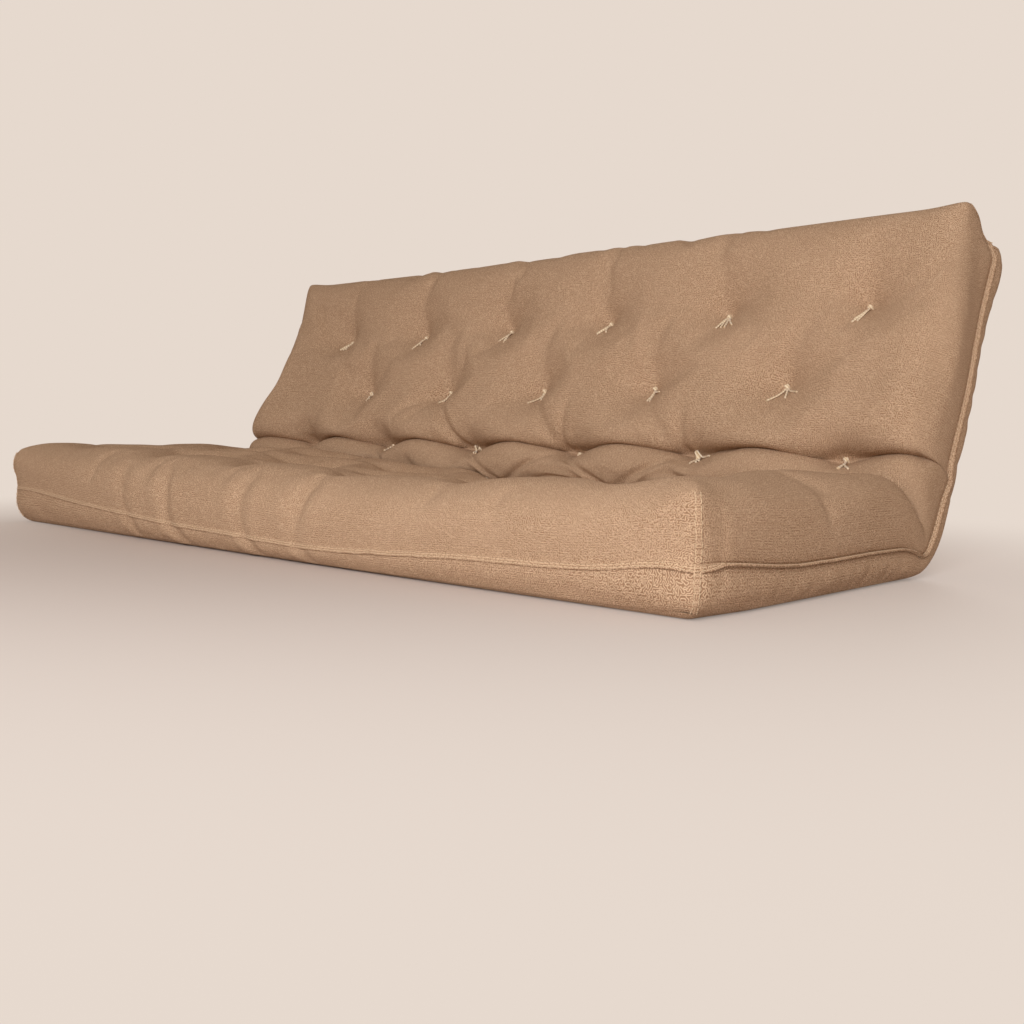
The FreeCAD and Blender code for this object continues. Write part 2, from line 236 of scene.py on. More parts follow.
def round_over(inset, h, radius, base_radius):
    """Rounds an edge of the slab: where a point's inset and height go, and how far it faces out and up."""
    if h < THICKNESS / 2:
        radius = base_radius
    core = Vector((max(inset, radius), clamp(h, base_radius, THICKNESS - radius)))
    facing = Vector((core.x - inset, h - core.y)).normalized()
    return core.x - facing.x * radius, core.y + facing.y * radius, facing.x, facing.y


def rounded(x, v, h):
    """Where a point of the slab goes when its edges are rounded and meet in mitred corners."""
    inset_x, inset_v = WIDTH / 2 - abs(x), min(v, LENGTH - v)
    radius = FACE_EDGE_RADIUS + (FRONT_ROLL_RADIUS - FACE_EDGE_RADIUS) * (1 - ease(v / 0.15))
    radius += (TOP_EDGE_RADIUS - FACE_EDGE_RADIUS) * ease((v - LENGTH + 0.15) / 0.15)
    radius *= 1 - 0.45 * math.exp(-(inset_x**2 + inset_v**2) / 0.055**2)
    base_radius = BASE_EDGE_RADIUS + (FRONT_BASE_RADIUS - BASE_EDGE_RADIUS) * (1 - ease(v / 0.15))
    new_x, height_x, out_x, up_x = round_over(inset_x, h, radius, base_radius)
    new_v, height_v, out_v, up_v = round_over(inset_v, h, radius, base_radius)
    on_wall = 1e-6 < h < THICKNESS - 1e-6
    if on_wall:
        radius = radius if h > THICKNESS / 2 else base_radius
        if inset_v > 1e-6:
            new_v = inset_v + new_x * max(1 - inset_v / radius, 0)
            height, out_v, up = height_x, 0, up_x
        elif inset_x > 1e-6:
            new_x = inset_x + new_v * max(1 - inset_x / radius, 0)
            height, out_x, up = height_v, 0, up_v
        else:
            height, up = height_x, up_x
    elif h > THICKNESS / 2:
        height, up = min(height_x, height_v), min(up_x, up_v)
    else:
        height, up = max(height_x, height_v), max(up_x, up_v)
    facing = Vector((math.copysign(out_x, x), out_v if v > LENGTH / 2 else -out_v, up)).normalized()
    new_v = new_v if v < LENGTH / 2 else LENGTH - new_v
    return math.copysign(WIDTH / 2 - new_x, x), new_v, height, facing


# Lasting creases in the cloth, each from one point to another as (X, S), where S runs on from V
# down the unrolled front wall, with its half-width and depth.
creases = [
    ((-0.26, 1.022), (-0.12, 0.890), 0.011, 0.011),
    ((0.04, 1.022), (0.18, 0.890), 0.011, 0.011),
    ((0.34, 1.022), (0.46, 0.900), 0.012, 0.007),
    ((-0.26, 1.022), (-0.36, 0.950), 0.010, 0.007),
    ((-0.26, 1.022), (-0.30, 0.930), 0.008, 0.005),
    ((-0.12, 0.880), (-0.20, 0.965), 0.009, 0.006),
    ((0.18, 0.880), (0.18, 1.000), 0.008, 0.007),
    ((0.48, 0.880), (0.47, 0.980), 0.009, 0.006),
    ((0.33, 0.680), (0.20, 0.800), 0.010, 0.009),
    ((0.33, 0.680), (0.46, 0.800), 0.012, 0.008),
    ((0.03, 0.680), (0.16, 0.820), 0.010, 0.010),
    ((0.03, 0.680), (-0.08, 0.800), 0.009, 0.007),
    ((-0.44, -0.010), (-0.43, -0.110), 0.022, 0.005),
    ((-0.42, -0.110), (-0.37, -0.160), 0.014, 0.005),
    ((-0.29, 0.000), (-0.25, -0.110), 0.020, 0.008),
    ((-0.26, -0.110), (-0.18, -0.165), 0.014, 0.007),
    ((-0.01, 0.005), (-0.01, -0.105), 0.022, 0.008),
    ((0.00, -0.110), (0.05, -0.165), 0.014, 0.006),
    ((0.17, 0.010), (0.15, -0.100), 0.024, 0.007),
    ((0.16, -0.115), (0.20, -0.160), 0.014, 0.004),
    ((0.94, -0.055), (0.85, -0.085), 0.012, 0.006),
    ((0.94, -0.090), (0.88, -0.103), 0.010, 0.005),
    ((0.94, -0.128), (0.88, -0.145), 0.011, 0.003),
]


def crease(x, s):
    depth = 0
    for (x0, s0), (x1, s1), half_width, deepest in creases:
        run = Vector((x1 - x0, s1 - s0))
        from_start = Vector((x - x0, s - s0))
        t = clamp(from_start.dot(run) / run.length_squared, 0, 1)
        aside = (from_start - run * t).length / half_width
        if aside < 4:
            fade = math.sin(math.pi * (0.15 + 0.85 * t)) ** 0.5 if t < 1 else 0
            depth += deepest * fade * (math.exp(-(aside**2)) - 0.35 * math.exp(-((aside - 1.8) ** 2)))
    return depth


def puff(x, v):
    """How far the face stands off the plain slab: crowned cells, tuft hollows and drawn-in rows."""
    swell = 0.004 + 0.004 * noise.noise(Vector((x * 2.1, v * 3.3, 4.0)))
    for tuft_x, tuft_v in tufts:
        across, along = x - tuft_x, v - tuft_v
        if abs(across) > 0.2 or abs(along) > 0.2:
            continue
        in_fold = tuft_v in (fold_row, crease_row)
        depth = 0.012 if in_fold else TUFT_DEPTH
        distance = math.hypot(across, along)
        reach = 0.072 if along < 0 else 0.055
        broad = math.exp(-((across / 0.055) ** 2) - (along / reach) ** 2)
        swell -= depth * (0.38 * math.exp(-distance / 0.020) + 0.62 * broad)
        lean = 0.35 * noise.noise(Vector((tuft_x * 7, tuft_v * 5, 1.5)))
        length = 0.12 + 0.05 * noise.noise(Vector((tuft_x * 5, tuft_v * 9, 8.5)))
        if not in_fold and 0 < along < length:
            aside = (across - lean * along) / (0.016 + 0.10 * along)
            swell -= 0.011 * math.exp(-(aside**2)) * (1 - along / length) ** 0.7
    inland = ease((WIDTH / 2 - abs(x)) / 0.16)
    for row in rows:
        if row not in (fold_row, crease_row):
            depth, half_width = (0.016, 0.075) if row > SEAT_DEPTH else (0.006, 0.030)
            swell -= depth * inland * math.exp(-(((v - row) / half_width) ** 2))
    return swell


COLUMNS, ROWS, WALL_ROWS = 165, 120, 12


def casing_blank():
    """The casing's skin on the flat slab, from the face down to the edge of the base, as one grid."""
    bm = bmesh.new()
    bmesh.ops.create_grid(bm, x_segments=COLUMNS, y_segments=ROWS, size=0.5)
    bmesh.ops.scale(bm, vec=(WIDTH, LENGTH, 1), verts=bm.verts)
    bmesh.ops.translate(bm, vec=(0, LENGTH / 2, THICKNESS), verts=bm.verts)
    rim = [edge for edge in bm.edges if edge.is_boundary]
    for _ in range(WALL_ROWS):
        made = bmesh.ops.extrude_edge_only(bm, edges=rim)["geom"]
        fresh = [item for item in made if isinstance(item, bmesh.types.BMVert)]
        bmesh.ops.translate(bm, vec=(0, 0, -THICKNESS / WALL_ROWS), verts=fresh)
        rim = [item for item in made if isinstance(item, bmesh.types.BMEdge) and item.is_boundary]
    bmesh.ops.recalc_face_normals(bm, faces=bm.faces)
    return bm


def lay_cloth_map(bm):
    """A UV map in metres of cloth: the face as laid flat, and the walls unrolled from its edges."""
    cloth_map = bm.loops.layers.uv.new("cloth")
    for face in bm.faces:
        facing = face.normal
        for loop in face.loops:
            x, v, h = loop.vert.co
            drop = THICKNESS - h
            if abs(facing.x) > 0.5:
                x += math.copysign(drop, facing.x)
            elif abs(facing.y) > 0.5:
                v += math.copysign(drop, facing.y)
            loop[cloth_map].uv = (x, v)


def fold_up(bm):
    """Rounds, puffs and folds the flat skin."""
    for vert in bm.verts:
        x, v, h, facing = rounded(*vert.co)
        on_side = 1 - abs(facing.z)
        lift = puff(x, v) * max(facing.z, 0) - crease(x, v if vert.co.y > 0 else vert.co.z - THICKNESS)
        lift += 0.006 * on_side * math.sin(math.pi * clamp(h / THICKNESS, 0, 1))
        lift += (0.006 + 0.004 * ease((v - 0.8) / 0.2)) * on_side * math.exp(-(((h - 0.025) / 0.018) ** 2))
        groove = 0.001 + 0.003 * ease(v / 0.05)
        lift -= groove * on_side * math.exp(-(((vert.co.z - SEAM_HEIGHT) / 0.010) ** 2))
        pinch = math.exp(-((WIDTH / 2 - abs(x)) ** 2 + min(v, LENGTH - v) ** 2) / 0.035**2)
        pinch *= (0.013 if v > 0.5 else 0.007) * math.exp(-(((max(h, 0.070) - 0.078) / 0.030) ** 2))
        x -= math.copysign(pinch * 0.5, x)
        v += math.copysign(pinch, LENGTH / 2 - v)
        place, along, outward = to_fold(x, v, h)
        push = along * facing.y + outward * facing.z
        push.x = facing.x
        vert.co = place + push * lift


def add_object(name, bm):
    mesh = bpy.data.meshes.new(name)
    bm.to_mesh(mesh)
    bm.free()
    piece = bpy.data.objects.new(name, mesh)
    bpy.context.scene.collection.objects.link(piece)
    for polygon in mesh.polygons:
        polygon.use_smooth = True
    return piece


def smooth_finish(piece):
    finish = piece.modifiers.new("smooth", "SUBSURF")
    finish.levels = 1
    finish.render_levels = 1


bm = casing_blank()
lay_cloth_map(bm)
flat = [vert.co.copy() for vert in bm.verts]
fold_up(bm)
casing = add_object("casing_blank", bm)
on_base = [i for i, p in enumerate(flat) if p.z < 1e-5]


def grid_place(p):
    return round((p.x / WIDTH + 0.5) * COLUMNS), round(p.y / LENGTH * ROWS)


on_face = {grid_place(p): i for i, p in enumerate(flat) if p.z > THICKNESS - 1e-5}
knots = [min(on_face.values(), key=lambda i: (flat[i].x - x) ** 2 + (flat[i].y - v) ** 2) for x, v in tufts]


def furthest_move(p):
    """How far the cloth may settle: least along the front roll, where it's stretched smooth."""
    if p.z > THICKNESS - 1e-5:
        return 0.004 + 0.008 * ease((p.y - 0.05) / 0.15)
    return 0.004 if p.y < 0.05 else 0.007


def settle(piece, pinned, slack):
    """Inflates a piece as cloth held at the pinned points, and keeps the shape that it settles to."""
    held = piece.vertex_groups.new(name="held")
    held.add(pinned, 1.0, "REPLACE")
    loose = piece.vertex_groups.new(name="loose")
    for index, weight in slack:
        loose.add([index], weight, "REPLACE")
    cloth = piece.modifiers.new("cloth", "CLOTH")
    cloth.settings.quality = 4
    cloth.settings.mass = 0.3
    cloth.settings.air_damping = 2.0
    cloth.settings.tension_stiffness = 15
    cloth.settings.compression_stiffness = 15
    cloth.settings.shear_stiffness = 8
    cloth.settings.bending_stiffness = 1.0
    cloth.settings.vertex_group_mass = "held"
    cloth.settings.pin_stiffness = 1
    cloth.settings.use_pressure = True
    cloth.settings.uniform_pressure_force = 4.0
    cloth.settings.vertex_group_shrink = "loose"
    cloth.settings.shrink_min = -0.02
    cloth.settings.shrink_max = -0.10
    cloth.settings.effector_weights.gravity = 0
    cloth.collision_settings.use_collision = False
    cloth.collision_settings.use_self_collision = False
    cloth.point_cache.frame_start = 1
    cloth.point_cache.frame_end = 20
    for frame_number in range(1, 21):
        bpy.context.scene.frame_set(frame_number)
    settled = piece.evaluated_get(bpy.context.evaluated_depsgraph_get())
    places = [vert.co.copy() for vert in settled.data.vertices]
    piece.modifiers.remove(cloth)
    bpy.context.scene.frame_set(1)
    for vert, place, laid in zip(piece.data.vertices, places, flat):
        move = place - vert.co
        if move.length > furthest_move(laid):
            move *= furthest_move(laid) / move.length
        vert.co += move


slack = [(i, math.exp(-(((p.y - 0.76) / 0.10) ** 2))) for i, p in enumerate(flat) if 0.5 < p.y < 1.0]
settle(casing, on_base + knots, slack)
skin = [vert.co.copy() for vert in casing.data.vertices]
skin_facing = [vert.normal.copy() for vert in casing.data.vertices]


def fold_across(piece):
    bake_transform(piece)


def linear(hex_colour):
    """An sRGB hex colour as linear red, green, blue and alpha."""
    channels = [int(hex_colour[i:i + 2], 16) / 255 for i in (1, 3, 5)]
    return (*(c / 12.92 if c <= 0.04045 else ((c + 0.055) / 1.055) ** 2.4 for c in channels), 1)


def add_node(tree, kind, inputs=None, **settings):
    node = tree.nodes.new(kind)
    for name, value in settings.items():
        setattr(node, name, value)
    for name, value in (inputs or {}).items():
        if isinstance(value, bpy.types.NodeSocket):
            tree.links.new(value, node.inputs[name])
        else:
            node.inputs[name].default_value = value
    return node


def new_material(name, **shader_values):
    """A named material with a Principled shader at its end."""
    material = bpy.data.materials.new(name)
    material.use_nodes = True
    shader = material.node_tree.nodes["Principled BSDF"]
    for socket, value in shader_values.items():
        shader.inputs[socket.replace("_", " ")].default_value = value
    return material, material.node_tree, shader


# Cotton and linen plain weave with slubs: matt, a little fuzzy, flecked with paler thick yarn that
# wanders through a tan ground. Its threads are 0.8 mm apart, drawn 2.4 mm apart so that they show,
# and the slubs' wandering lines are about 4 mm apart.
woven_cotton, tree, shader = new_material(
    "slubbed_cotton_linen_plain_weave", Roughness=0.92, Sheen_Weight=0.04, Sheen_Roughness=0.6,
    Sheen_Tint=(0.8, 0.6, 0.45, 1), Specular_IOR_Level=0.15)
cloth_place = add_node(tree, "ShaderNodeUVMap", uv_map="cloth").outputs["UV"]
SLUB_STEP = 0.0003
levels = []
for offset in ((0, 0, 0), (SLUB_STEP, 0, 0), (0, SLUB_STEP, 0)):
    moved = add_node(tree, "ShaderNodeVectorMath", {0: cloth_place, 1: offset}, operation="ADD").outputs["Vector"]
    wander = add_node(tree, "ShaderNodeTexNoise", {"Vector": moved, "Scale": 275.0, "Detail": 0.0})
    levels.append(wander.outputs["Fac"])
rises = [add_node(tree, "ShaderNodeMath", {0: level, 1: levels[0]}, operation="SUBTRACT").outputs[0]
         for level in levels[1:]]
slope = add_node(tree, "ShaderNodeCombineXYZ", {"X": rises[0], "Y": rises[1]}).outputs["Vector"]
steepness = add_node(tree, "ShaderNodeVectorMath", {0: slope}, operation="LENGTH").outputs["Value"]
aside = add_node(tree, "ShaderNodeMath", {0: levels[0], 1: -0.5}, operation="ADD").outputs[0]
aside = add_node(tree, "ShaderNodeMath", {0: aside}, operation="ABSOLUTE").outputs[0]
steps_off = add_node(tree, "ShaderNodeMath", {0: aside, 1: steepness}, operation="DIVIDE").outputs[0]
yarn = add_node(tree, "ShaderNodeMapRange", {
    "Value": steps_off, "From Min": 0.0010 / SLUB_STEP, "From Max": 0.0003 / SLUB_STEP},
    interpolation_type="SMOOTHSTEP").outputs[0]
threads = []
for direction in ("X", "Y"):
    wave = add_node(tree, "ShaderNodeTexWave", {
        "Vector": cloth_place, "Scale": 1 / (0.0024 * 20) * math.pi, "Distortion": 1.2, "Detail": 1.0, "Detail Scale": 2.0,
    }, wave_type="BANDS", bands_direction=direction, wave_profile="SIN")
    threads.append(wave.outputs["Fac"])
weave = add_node(tree, "ShaderNodeMath", {0: threads[0], 1: threads[1]}, operation="MULTIPLY").outputs[0]
patches = add_node(tree, "ShaderNodeTexNoise", {"Vector": cloth_place, "Scale": 7.0, "Detail": 3.0, "Roughness": 0.6})
ground = add_node(tree, "ShaderNodeValToRGB", {"Fac": patches.outputs["Fac"]})
ground.color_ramp.elements[0].position = 0.3
ground.color_ramp.elements[0].color = linear("#97765A")
ground.color_ramp.elements[1].position = 0.7
ground.color_ramp.elements[1].color = linear("#A38267")
paler = add_node(tree, "ShaderNodeMix", {
    "Factor": yarn, "A": ground.outputs["Color"], "B": linear("#D5B597")}, data_type="RGBA")
# The weave darkens the colour where its threads dip, following the bump's relief: painted shade between the threads.
shade = add_node(tree, "ShaderNodeMapRange", {"Value": weave, "To Min": 0.94, "To Max": 1.04}).outputs[0]
thread_shaded_colour = add_node(tree, "ShaderNodeMix", {
    "Factor": 1.0, "A": paler.outputs["Result"], "B": shade}, data_type="RGBA", blend_type="MULTIPLY")
relief = add_node(tree, "ShaderNodeMath", {0: yarn, 1: 1.6, 2: weave}, operation="MULTIPLY_ADD").outputs[0]
bump = add_node(tree, "ShaderNodeBump", {"Height": relief, "Strength": 0.6, "Distance": 0.0010})
tree.links.new(thread_shaded_colour.outputs["Result"], shader.inputs["Base Color"])
tree.links.new(bump.outputs["Normal"], shader.inputs["Normal"])


# The face panel: everything above the seam, with its rim turned in as the seam allowance.
def rim_of(bm):
    return [edge for edge in bm.edges if edge.is_boundary]


def part_of_skin(keep):
    """The faces of the settled skin for which KEEP of their mean flat height is true."""
    bm = bmesh.new()
    bm.from_mesh(casing.data)
    bm.faces.ensure_lookup_table()
    doomed = [face for face in bm.faces if not keep(sum(flat[v.index].z for v in face.verts) / len(face.verts))]
    bmesh.ops.delete(bm, geom=doomed, context="FACES")
    return bm


bm = part_of_skin(lambda height: height > SEAM_HEIGHT)
rim = rim_of(bm)
turned_in = bmesh.ops.extrude_edge_only(bm, edges=rim)["geom"]
for vert in (item for item in turned_in if isinstance(item, bmesh.types.BMVert)):
    vert.co -= (vert.co - Vector((0, vert.co.y, vert.co.z))).normalized() * 0.004
face_panel = add_object("face_panel", bm)
smooth_finish(face_panel)
face_panel.data.materials.append(woven_cotton)
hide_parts("seat_face_panel", "back_face_panel")

# The base panel: the low walls under the seam and the plain underside, dimpled by the ties.
bm = part_of_skin(lambda height: height < SEAM_HEIGHT)
cloth_map = bm.loops.layers.uv["cloth"]
made = bmesh.ops.create_grid(bm, x_segments=COLUMNS, y_segments=ROWS, size=0.5)["verts"]
bmesh.ops.scale(bm, vec=(WIDTH, LENGTH, 1), verts=made)
bmesh.ops.translate(bm, vec=(0, LENGTH / 2, 0), verts=made)
underside = {face for vert in made for face in vert.link_faces}
for face in underside:
    for loop in face.loops:
        loop[cloth_map].uv = (loop.vert.co.x, loop.vert.co.y)


def base_dimple(x, v):
    near = ((math.hypot(x - tuft_x, v - tuft_v) / 0.022) ** 2 for tuft_x, tuft_v in tufts)
    return 0.007 * sum(math.exp(-reached) for reached in near if reached < 9)


for vert in made:
    x, v, h, facing = rounded(*vert.co)
    place, along, outward = to_fold(x, v, h)
    vert.co = place + outward * base_dimple(x, v)
bmesh.ops.reverse_faces(bm, faces=list(underside))
bmesh.ops.remove_doubles(bm, verts=bm.verts, dist=0.0002)
bmesh.ops.recalc_face_normals(bm, faces=bm.faces)
base_panel = add_object("base_panel", bm)
smooth_finish(base_panel)
base_panel.data.materials.append(woven_cotton)
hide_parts("seat_base_panel", "back_base_panel")


# ---- Filling ------------------------------------------------------------------------------------
# Five loose layers lie in the casing: cotton batting outside and in the middle, and two sheets of
# soft foam between. The ties press them all together, and they bend with the fold.
LAYER_INSET = 0.022


def face_at(x, v):
    """The settled face at a point of the flat mattress, with the way it faces."""
    column, row = (x / WIDTH + 0.5) * COLUMNS, v / LENGTH * ROWS
    low_column, low_row = min(int(column), COLUMNS - 1), min(int(row), ROWS - 1)
    near, far = [[on_face[low_column + i, low_row + j] for i in (0, 1)] for j in (0, 1)]

    def between(values):
        sides = [values[a].lerp(values[b], column - low_column) for a, b in (near, far)]
        return sides[0].lerp(sides[1], row - low_row)

    return between(skin), between(skin_facing)


def layer(name, low, high):
    """A slab between two heights, carried into the space between the base and the settled face."""
    bm = bmesh.new()
    bmesh.ops.create_grid(bm, x_segments=COLUMNS, y_segments=ROWS, size=0.5)
    bmesh.ops.scale(bm, vec=(WIDTH - 2 * LAYER_INSET, LENGTH - 2 * LAYER_INSET, 1), verts=bm.verts)
    bmesh.ops.translate(bm, vec=(0, LENGTH / 2, low), verts=bm.verts)
    raised = bmesh.ops.extrude_face_region(bm, geom=bm.faces[:])["geom"]
    bmesh.ops.translate(bm, vec=(0, 0, high - low), verts=[v for v in raised if isinstance(v, bmesh.types.BMVert)])
    bmesh.ops.recalc_face_normals(bm, faces=bm.faces)
    for vert in bm.verts:
        x, v, h, facing = rounded(vert.co.x, vert.co.y, 0)
        place, along, outward = to_fold(x, v, h)
        bottom = place + outward * base_dimple(x, v)
        top, facing = face_at(vert.co.x, vert.co.y)
        share = vert.co.z / THICKNESS
        tie = min(math.hypot(vert.co.x - tuft_x, vert.co.y - tuft_v) for tuft_x, tuft_v in tufts)
        in_fold = ease((vert.co.y - 0.56) / 0.08) * ease((1.0 - vert.co.y) / 0.08)
        pressed = max(0.35 * math.exp(-(tie / 0.035) ** 2), 0.42 * in_fold)
        vert.co = (top - facing * 0.009 if share > 0.9 else bottom.lerp(top, share)).lerp(bottom, pressed)
    piece = add_object(name, bm)
    return piece


# Garneted cotton batting: off-white, matt, with matted fibres 15 to 40 mm long that lie all ways.
cotton_batting, tree, shader = new_material(
    "garneted_cotton_batting", Roughness=0.95, Sheen_Weight=0.3, Sheen_Roughness=0.6, Specular_IOR_Level=0.15)
place = add_node(tree, "ShaderNodeTexCoord").outputs["Object"]
fibres = add_node(tree, "ShaderNodeTexNoise", {
    "Vector": place, "Scale": 90.0, "Detail": 5.0, "Roughness": 0.7, "Distortion": 2.5})
tufted = add_node(tree, "ShaderNodeTexNoise", {"Vector": place, "Scale": 22.0, "Detail": 2.0})
colour = add_node(tree, "ShaderNodeValToRGB", {"Fac": fibres.outputs["Fac"]})
colour.color_ramp.elements[0].position = 0.3
colour.color_ramp.elements[0].color = linear("#D8CFBF")
colour.color_ramp.elements[1].position = 0.7
colour.color_ramp.elements[1].color = linear("#F1EBDF")
height = add_node(tree, "ShaderNodeMath", {
    0: tufted.outputs["Fac"], 1: 2.0, 2: fibres.outputs["Fac"]}, operation="MULTIPLY_ADD").outputs[0]
bump = add_node(tree, "ShaderNodeBump", {"Height": height, "Strength": 0.8, "Distance": 0.004})
tree.links.new(colour.outputs["Color"], shader.inputs["Base Color"])
tree.links.new(bump.outputs["Normal"], shader.inputs["Normal"])

# Flexible polyurethane foam, sliced from a block: pale yellow, matt, pitted with open cells about
# 0.8 mm across, drawn 2.5 mm across so that they show, with painted shade darkening the cells' hollows.
sliced_foam, tree, shader = new_material("sliced_polyurethane_foam", Roughness=0.85, Specular_IOR_Level=0.3)
place = add_node(tree, "ShaderNodeTexCoord").outputs["Object"]
cells = add_node(tree, "ShaderNodeTexVoronoi", {"Vector": place, "Scale": 400.0}, feature="DISTANCE_TO_EDGE")
pits = add_node(tree, "ShaderNodeMapRange", {"Value": cells.outputs["Distance"], "From Max": 0.35}).outputs[0]
colour = add_node(tree, "ShaderNodeMix", {
    "Factor": pits, "A": linear("#F0E2B4"), "B": linear("#DCC98F")}, data_type="RGBA")
bump = add_node(tree, "ShaderNodeBump", {"Height": pits, "Strength": 0.6, "Distance": 0.001}, invert=True)
tree.links.new(colour.outputs["Result"], shader.inputs["Base Color"])
tree.links.new(bump.outputs["Normal"], shader.inputs["Normal"])

layers = [
    ("base_batting", 0.006, 0.035, cotton_batting, "cotton_batting"),
    ("base_foam", 0.036, 0.073, sliced_foam, "foam"),
    ("middle_batting", 0.074, 0.093, cotton_batting, "cotton_batting"),
    ("face_foam", 0.094, 0.128, sliced_foam, "foam"),
    ("face_batting", 0.130, 0.161, cotton_batting, "cotton_batting"),
]
for name, low, high, material, slot in layers:
    piece = layer(name, low, high)
    piece.data.materials.append(material)
    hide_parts("seat_" + name, "back_" + name)
    fold_across(piece)


# ---- Seam ---------------------------------------------------------------------------------------
# The two panels' allowances are sewn together into a narrow flange all round, with two rows of
# stitching. It stands out at the ends and the back, and is pressed down flat on the front roll.
FLANGE_WIDTH = 0.009
FLANGE_THICKNESS = 0.0024
ring = [i for i, p in enumerate(flat) if abs(p.z - SEAM_HEIGHT) < 0.001]
ring.sort(key=lambda i: math.atan2((flat[i].y - LENGTH / 2) / LENGTH, flat[i].x / WIDTH))


def flange_way(i):
    """The way the flange points at a point of the seam: out, or down where it's pressed flat."""
    p = flat[i]
    out = Vector(skin_facing[i])
    pressed = 1 - ease(p.y / 0.06)
    down = Vector((0, 0, -1))
    down -= out * down.dot(out)
    return (out * (1 - pressed) + (down + out * 0.25) * pressed).normalized(), out, pressed


def strip(line, ways, width, root=0.0, steps=3):
    """A strip of cloth drawn out from a line of the settled skin, for each of WAYS, mapped in metres."""
    bm = bmesh.new()
    bm.from_mesh(casing.data)
    which = bm.verts.layers.int.new("which")
    for vert in bm.verts:
        vert[which] = vert.index
    on_line = set(line)
    bmesh.ops.delete(bm, geom=[vert for vert in bm.verts if vert.index not in on_line], context="VERTS")
    along, travelled = {}, 0.0
    for a, b in zip(line, line[1:] + line[:1]):
        along[a] = travelled
        travelled += (skin[b] - skin[a]).length
    for vert in bm.verts:
        vert.co -= ways[0][vert[which]] * root
    across = {vert: 0.0 for vert in bm.verts}
    step = (width + root) / steps
    first = bm.edges[:]
    for way in ways:
        edges = first
        for k in range(steps):
            made = bmesh.ops.extrude_edge_only(bm, edges=edges)["geom"]
            fresh = {item for item in made if isinstance(item, bmesh.types.BMVert)}
            edges = [item for item in made if isinstance(item, bmesh.types.BMEdge) and fresh.issuperset(item.verts)]
            for vert in fresh:
                vert.co += way[vert[which]] * step
                across[vert] = (k + 1) * step
    cloth_map = bm.loops.layers.uv["cloth"]
    for face in bm.faces:
        for loop in face.loops:
            loop[cloth_map].uv = (along[loop.vert[which]], across[loop.vert])
    bmesh.ops.recalc_face_normals(bm, faces=bm.faces)
    return bm


def thicken(piece, thickness):
    finish = piece.modifiers.new("thickness", "SOLIDIFY")
    finish.thickness = thickness
    finish.offset = 0


flange = add_object("seam_flange_strip", strip(ring, [{i: flange_way(i)[0] for i in ring}], FLANGE_WIDTH, 0.004))
thicken(flange, FLANGE_THICKNESS)
smooth_finish(flange)
flange.data.materials.append(woven_cotton)
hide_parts("seat_seam_flange", "back_seam_flange")
fold_across(flange)


def cords(name, runs, radius, sides=2):
    """Short lengths of thread or twine, one for each run of points, as one piece."""
    line = bpy.data.curves.new(name, "CURVE")
    line.dimensions = "3D"
    line.bevel_depth = radius
    line.bevel_resolution = sides
    line.use_fill_caps = True
    line.resolution_u = 3
    for run in runs:
        spline = line.splines.new("NURBS")
        spline.points.add(len(run) - 1)
        for point, place in zip(spline.points, run):
            point.co = (*place, 1)
        spline.order_u = 3
        spline.use_endpoint_u = True
    holder = bpy.data.objects.new(name + "_line", line)
    mesh = bpy.data.meshes.new_from_object(holder)
    mesh.name = name
    bpy.data.objects.remove(holder)
    piece = bpy.data.objects.new(name, mesh)
    bpy.context.scene.collection.objects.link(piece)
    for polygon in mesh.polygons:
        polygon.use_smooth = True
    return piece


# Spun polyester-core sewing thread, in a tan that matches the cloth. It's 0.4 mm thick and its
# stitches are 3.5 mm long, drawn 1 mm and 9 mm so that they show.
STITCH_PITCH = 0.009
STITCH_RADIUS = 0.0005


def stitches_along(points, lifts, pitch=STITCH_PITCH):
    """Runs for a row of stitches: each rises from the cloth, lies along it and goes back in."""
    runs = []
    travelled, due = 0.0, 0.0
    for a, b, lift in zip(points, points[1:], lifts):
        length = (b - a).length
        while due + pitch * 0.78 < travelled + length:
            start = a.lerp(b, (due - travelled) / length)
            end = a.lerp(b, (due + pitch * 0.78 - travelled) / length)
            runs.append([start - lift * 0.0006, start + lift * 0.0005, end + lift * 0.0005, end - lift * 0.0006])
            due += pitch
        travelled += length
    return runs


runs = []
for side, share in ((1, 0.22), (1, 0.62), (-1, 0.22), (-1, 0.62)):
    points, lifts = [], []
    for i in ring + ring[:1]:
        way, out, pressed = flange_way(i)
        tangent = skin[ring[(ring.index(i) + 1) % len(ring)]] - skin[ring[ring.index(i) - 1]]
        lift = way.cross(tangent).normalized()
        if lift.dot(Vector((0, 0, 1)) * (1 - pressed) + out * pressed) < 0:
            lift = -lift
        lift = lift * side
        points.append(skin[i] + way * FLANGE_WIDTH * share + lift * FLANGE_THICKNESS * 0.42)
        lifts.append(lift)
    runs += stitches_along(points, lifts)
seam_stitches = cords("seam_stitches", runs, STITCH_RADIUS, sides=1)
spun_thread, tree, shader = new_material(
    "spun_polyester_core_thread", Roughness=0.6, Sheen_Weight=0.1, Specular_IOR_Level=0.4)
place = add_node(tree, "ShaderNodeTexCoord").outputs["Object"]
fuzz = add_node(tree, "ShaderNodeTexNoise", {"Vector": place, "Scale": 500.0, "Detail": 2.0})
colour = add_node(tree, "ShaderNodeMix", {
    "Factor": fuzz.outputs["Fac"], "A": linear("#CBAD8A"), "B": linear("#E4CBAC")}, data_type="RGBA")
bump = add_node(tree, "ShaderNodeBump", {"Height": fuzz.outputs["Fac"], "Strength": 0.4, "Distance": 0.0003})
tree.links.new(colour.outputs["Result"], shader.inputs["Base Color"])
tree.links.new(bump.outputs["Normal"], shader.inputs["Normal"])
seam_stitches.data.materials.append(spun_thread)
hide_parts("seat_seam_thread", "back_seam_thread")
fold_across(seam_stitches)


